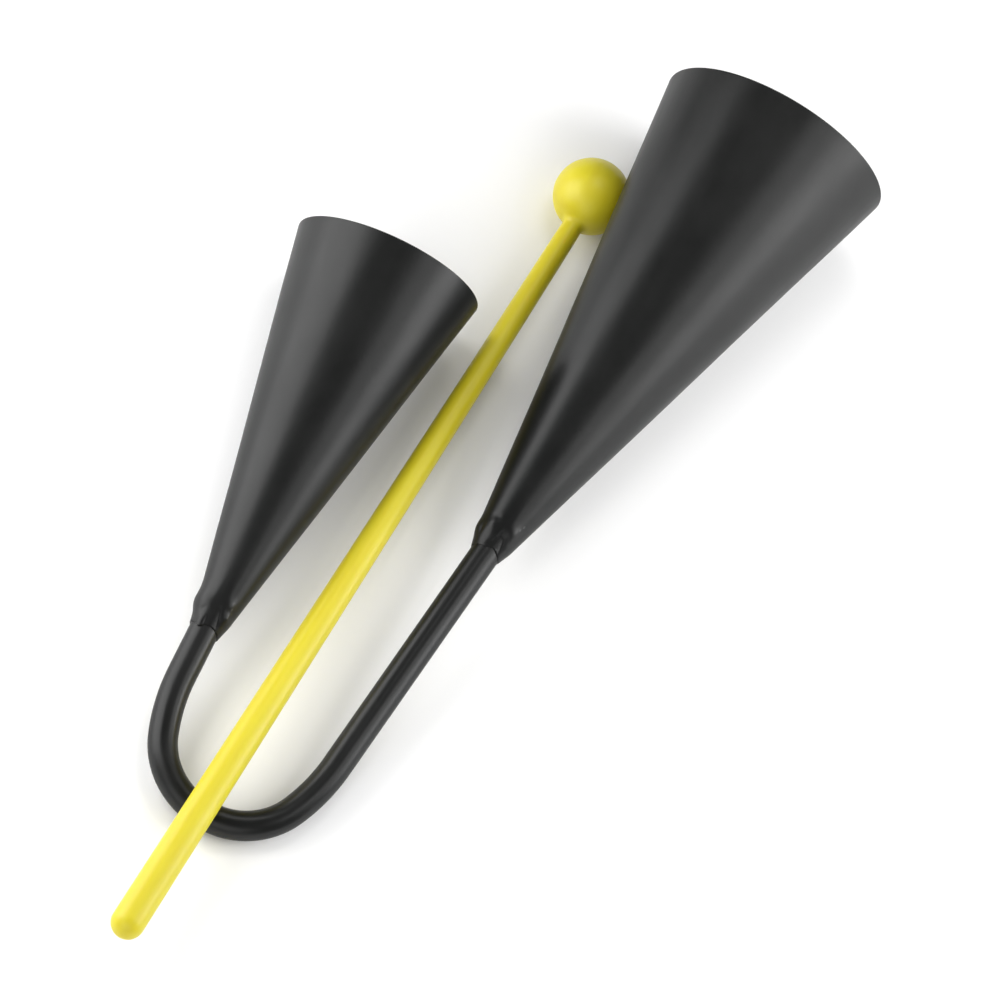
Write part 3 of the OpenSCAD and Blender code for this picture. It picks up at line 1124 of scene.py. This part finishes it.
def studio_floor(stage):
    """Plain square of paper at table level."""
    half = stage.floor_half
    corners = [(x * half, y * half, 0) for x, y in ((-1, -1), (1, -1), (1, 1), (-1, 1))]
    mesh = bpy.data.meshes.new("studio_floor")
    mesh.from_pydata(corners, [], [(0, 1, 2, 3)])
    mesh.materials.append(studio_paper("plain_pale_paper", stage.floor_colour))
    return add_object("studio_floor", mesh)


def add_softbox(box, watts):
    """Rectangular light that faces its target and isn't seen itself."""
    name = box.name + "_softbox"
    light = bpy.data.lights.new(name, "AREA")
    light.shape = "RECTANGLE"
    light.size, light.size_y, light.energy = box.width, box.height, watts
    obj = add_object(name, light)
    obj.location = box.place
    towards = Vector(box.target) - Vector(box.place)
    obj.rotation_euler = towards.to_track_quat("-Z", "Y").to_euler()
    obj.visible_camera = False


def studio_room(stage):
    """The room's light: an even fill on matt surfaces, while gloss mirrors a room darker overhead."""
    nodes = Nodes(bpy.data.worlds.new("studio_room"), "Background")
    where = nodes.add("TexCoord").outputs["Generated"]
    height = nodes.add("SeparateXYZ", [("Vector", where)]).outputs["Z"]
    mirrored = spread(
        nodes, height, between=(0, ROOM_FADE_TOP), to=(stage.low_light, stage.top_light),
        interpolation_type="SMOOTHSTEP")
    glossy = nodes.add("LightPath").outputs["Is Glossy Ray"]
    fill_input, mirrored_input = MIX_NUMBERS
    strength = nodes.add("Mix", [(MIX_FACTOR, glossy), (mirrored_input, mirrored)])
    strength.inputs[fill_input].default_value = stage.fill_light
    nodes.feed("Strength", strength.outputs[MIX_NUMBER_OUT])
    nodes.set("Color", (1, 1, 1, 1))
    return nodes.owner


def photo_camera(stage):
    """Camera at the photograph's viewing angle."""
    turn, rise, roll = CAMERA_TURN, CAMERA_RISE, CAMERA_ROLL
    back = Vector((cos(rise) * cos(turn), cos(rise) * sin(turn), sin(rise)))
    level = Vector((-sin(turn), cos(turn), 0))
    right = level * cos(roll) + back.cross(level) * sin(roll)
    axes = Matrix((right, back.cross(right), back)).transposed()
    data = bpy.data.cameras.new("photo_camera")
    data.sensor_width = SENSOR
    data.lens = PX_PER_M * stage.camera_distance * SENSOR / FRAME_PX
    data.clip_start, data.clip_end = CLIP
    camera = add_object("photo_camera", data)
    camera.matrix_world = Matrix.Translation(LOOK_AT + back * stage.camera_distance) @ axes.to_4x4()
    return camera


class AGOGO_OT_stage(bpy.types.Operator):
    """Lay the floor and set the lights and the camera"""
    bl_idname = "agogo.stage"
    bl_label = "Stage"

    def execute(self, context):
        scene = context.scene
        stage = scene.agogo_stage
        studio_floor(stage)
        for box in SOFTBOXES:
            add_softbox(box, getattr(stage, box.name + "_watts"))
        scene.world = studio_room(stage)
        scene.view_settings.view_transform = "Standard"
        scene.camera = photo_camera(stage)
        return {"FINISHED"}


# Panel and registration

PIECES = (AGOGO_OT_bells, AGOGO_OT_seams, AGOGO_OT_tacks, AGOGO_OT_handle, AGOGO_OT_beater,
          AGOGO_OT_stage)
GROUPS = (("agogo_bells", BellSizes), ("agogo_handle", HandleSizes), ("agogo_welds", WeldSizes),
          ("agogo_beater", BeaterSizes), ("agogo_finishes", Finishes), ("agogo_stage", StageSettings))


class AGOGO_PT_panel(bpy.types.Panel):
    """Sizes, finishes and build buttons"""
    bl_label = "Agogo Bells"
    bl_idname = "AGOGO_PT_panel"
    bl_space_type = "VIEW_3D"
    bl_region_type = "UI"
    bl_category = "Agogo"

    def draw(self, context):
        layout = self.layout
        for name, group in GROUPS:
            box = layout.box()
            box.label(text=group.__doc__)
            for prop in group.__annotations__:
                box.prop(getattr(context.scene, name), prop)
        for piece in PIECES:
            layout.operator(piece.bl_idname)


def register():
    for name, group in GROUPS:
        bpy.utils.register_class(group)
        setattr(bpy.types.Scene, name, PointerProperty(type=group))
    for cls in (*PIECES, AGOGO_PT_panel):
        bpy.utils.register_class(cls)


def unregister():
    for cls in (AGOGO_PT_panel, *reversed(PIECES)):
        bpy.utils.unregister_class(cls)
    for name, group in reversed(GROUPS):
        delattr(bpy.types.Scene, name)
        bpy.utils.unregister_class(group)


def main():
    register()
    bpy.ops.agogo.stage()
    bpy.ops.agogo.bells()
    bpy.ops.agogo.seams()
    bpy.ops.agogo.tacks()
    bpy.ops.agogo.handle()
    bpy.ops.agogo.beater()


if __name__ == "__main__":
    main()
